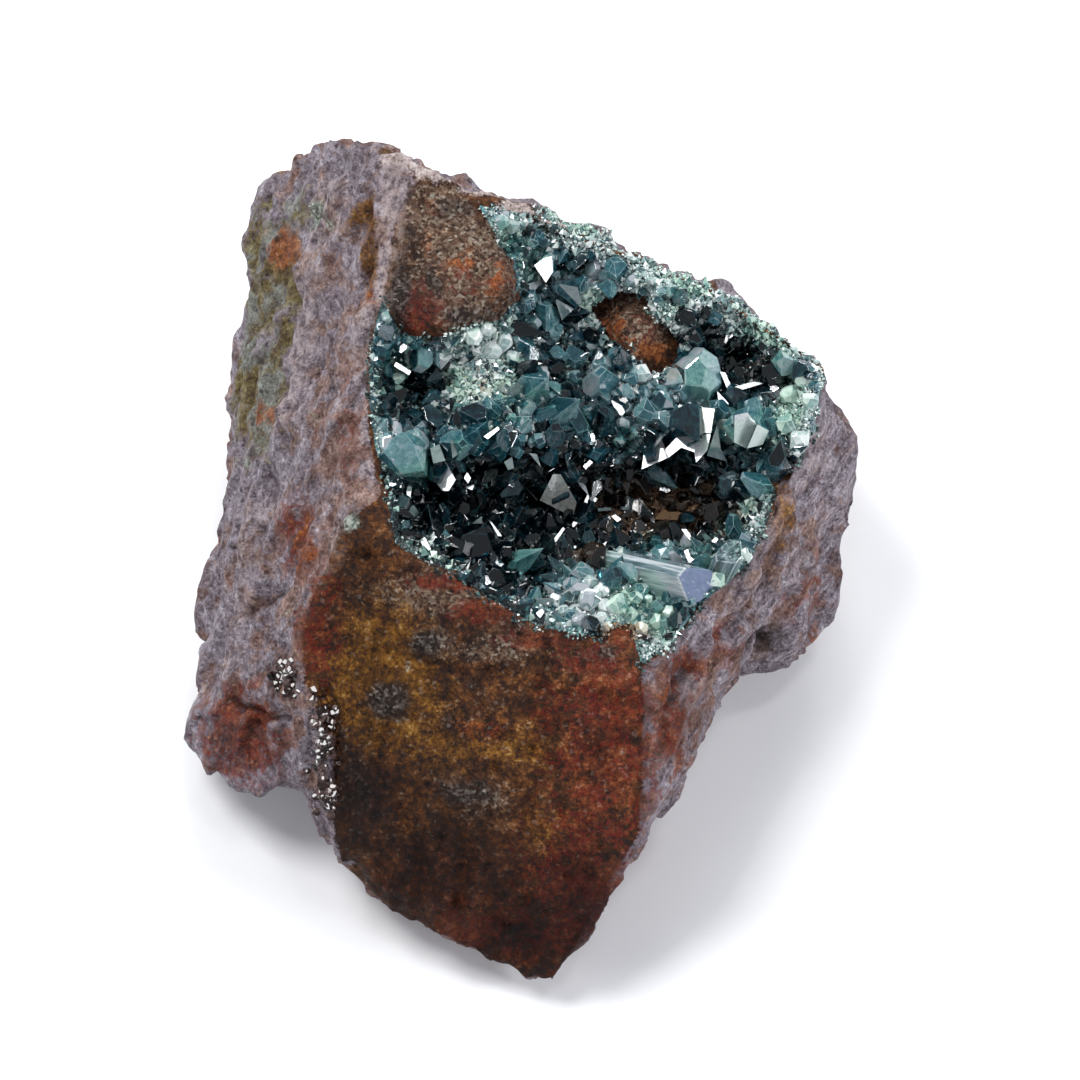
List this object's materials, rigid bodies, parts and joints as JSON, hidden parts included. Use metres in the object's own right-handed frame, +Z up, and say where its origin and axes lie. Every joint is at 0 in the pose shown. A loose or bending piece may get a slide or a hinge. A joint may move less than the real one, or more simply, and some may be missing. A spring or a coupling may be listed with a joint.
{
  "type": "scorodite mineral specimen",
  "caption": "Broken lump of iron-oxide rock lying on its broad back, with an open vug in its upper face lined by a crust of blue-green scorodite crystals.",
  "frame": {"origin": "on the surface that the rock lies on, under the middle of its bounding box", "axes": "+Z is up, out of the side that lies down; +Y runs up the specimen as it is pictured, from its pointed end to its broad end; +X is to the right as the vug is looked at"},
  "size_m": [0.0494, 0.0656, 0.0279],
  "materials": {
    "matrix": "rough broken iron-oxide rock, mauve-grey sides and an ochre, brown and red front",
    "scorodite": "glassy, translucent blue-green crystals"
  },
  "bodies": {
    "root": {"matrix": "matrix", "scorodite_crust": "scorodite"}
  },
  "joints": []
}
